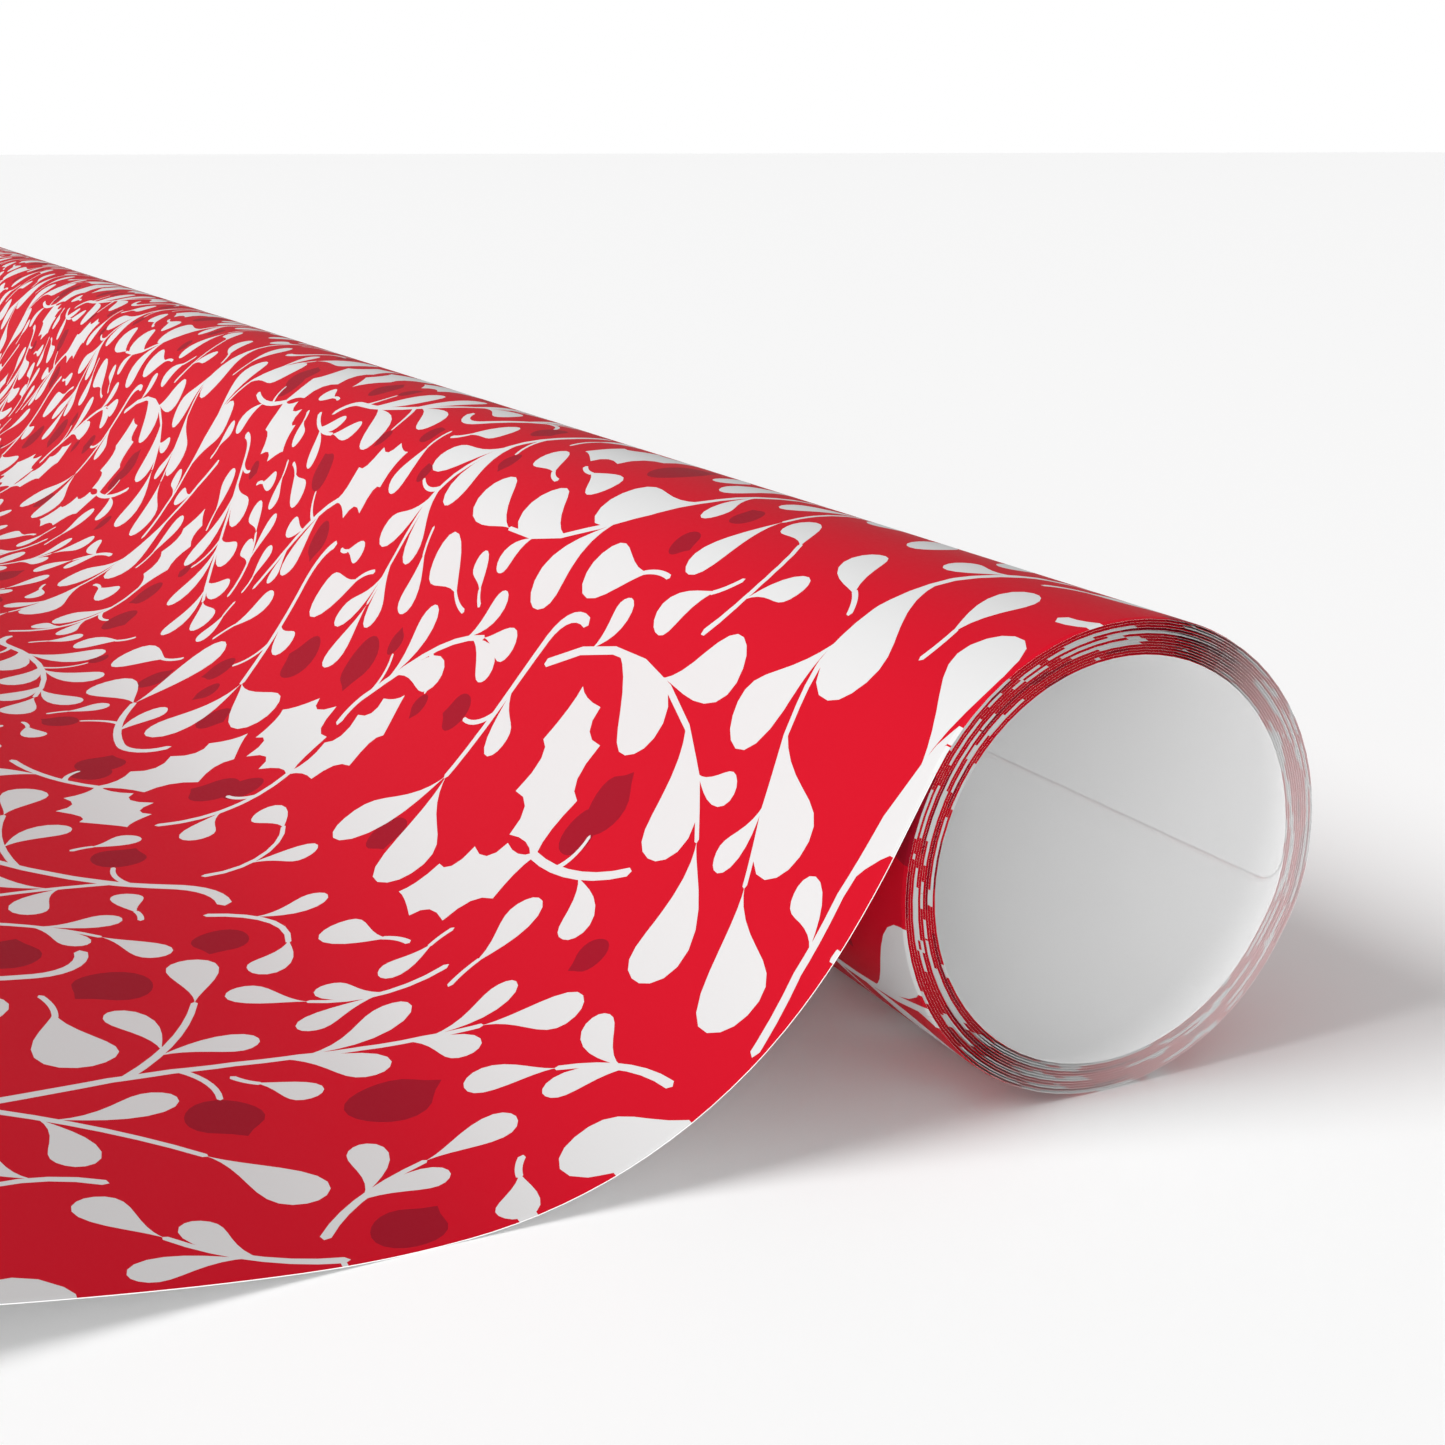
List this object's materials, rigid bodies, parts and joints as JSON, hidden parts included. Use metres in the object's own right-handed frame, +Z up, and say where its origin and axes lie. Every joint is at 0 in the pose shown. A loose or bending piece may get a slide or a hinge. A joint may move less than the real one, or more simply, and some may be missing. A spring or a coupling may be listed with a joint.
{
  "type": "wrapping paper roll",
  "caption": "Coreless roll of printed gift wrap lying on its side, with the outer end of the sheet unrolled in a soft curve onto the surface",
  "frame": {"origin": "centre of the bounding box's base, on the surface that the roll lies on", "axes": "+X along the roll's axis, towards the end that shows the turns; +Y away from the unrolled end of the sheet; +Z up"},
  "size_m": [0.762, 0.1698, 0.0429],
  "materials": {
    "printed_paper": "satin red print with off-white sprays and dark red berries on one side, plain white on the back"
  },
  "bodies": {
    "outer_wrap": {"turn_13": "printed_paper", "top_turn": "printed_paper", "flap_shoulder": "printed_paper"},
    "middle_coil": {"turn_07": "printed_paper", "turn_08": "printed_paper", "turn_09": "printed_paper", "turn_10": "printed_paper", "turn_11": "printed_paper", "turn_12": "printed_paper"},
    "centre_coil": {"turn_01": "printed_paper", "turn_02": "printed_paper", "turn_03": "printed_paper", "turn_04": "printed_paper", "turn_05": "printed_paper", "turn_06": "printed_paper"},
    "slope": {"flap_slope": "printed_paper"},
    "foot": {"flap_foot": "printed_paper"},
    "sheet_end": {"flap_end": "printed_paper"}
  },
  "joints": [
    {"name": "coil_turn", "type": "hinge", "parent": "outer_wrap", "child": "middle_coil", "pos_m": [0, 0.06332, 0.02133], "axis": [1, 0, 0], "range_deg": [-180, 180]},
    {"name": "centre_slide", "type": "slide", "parent": "middle_coil", "child": "centre_coil", "axis": [1, 0, 0], "range_m": [-0.12, 0.12]},
    {"name": "slope_bend", "type": "hinge", "parent": "outer_wrap", "child": "slope", "pos_m": [0, 0.03686, 0.01915], "axis": [-1, 0, 0], "range_deg": [0, 24], "stiffness_Nm_per_rad": 0.05},
    {"name": "foot_bend", "type": "hinge", "parent": "slope", "child": "foot", "pos_m": [0, 0.01885, 0.00378], "axis": [-1, 0, 0], "range_deg": [0, 36], "stiffness_Nm_per_rad": 0.05},
    {"name": "end_bend", "type": "hinge", "parent": "foot", "child": "sheet_end", "pos_m": [0, -0.02, 0.00198], "axis": [-1, 0, 0], "range_deg": [0, 30], "stiffness_Nm_per_rad": 0.05}
  ],
  "couplings": [
    {"joint": "foot_bend", "follows": "slope_bend", "ratio": 1.5},
    {"joint": "end_bend", "follows": "slope_bend", "ratio": 1.25}
  ]
}
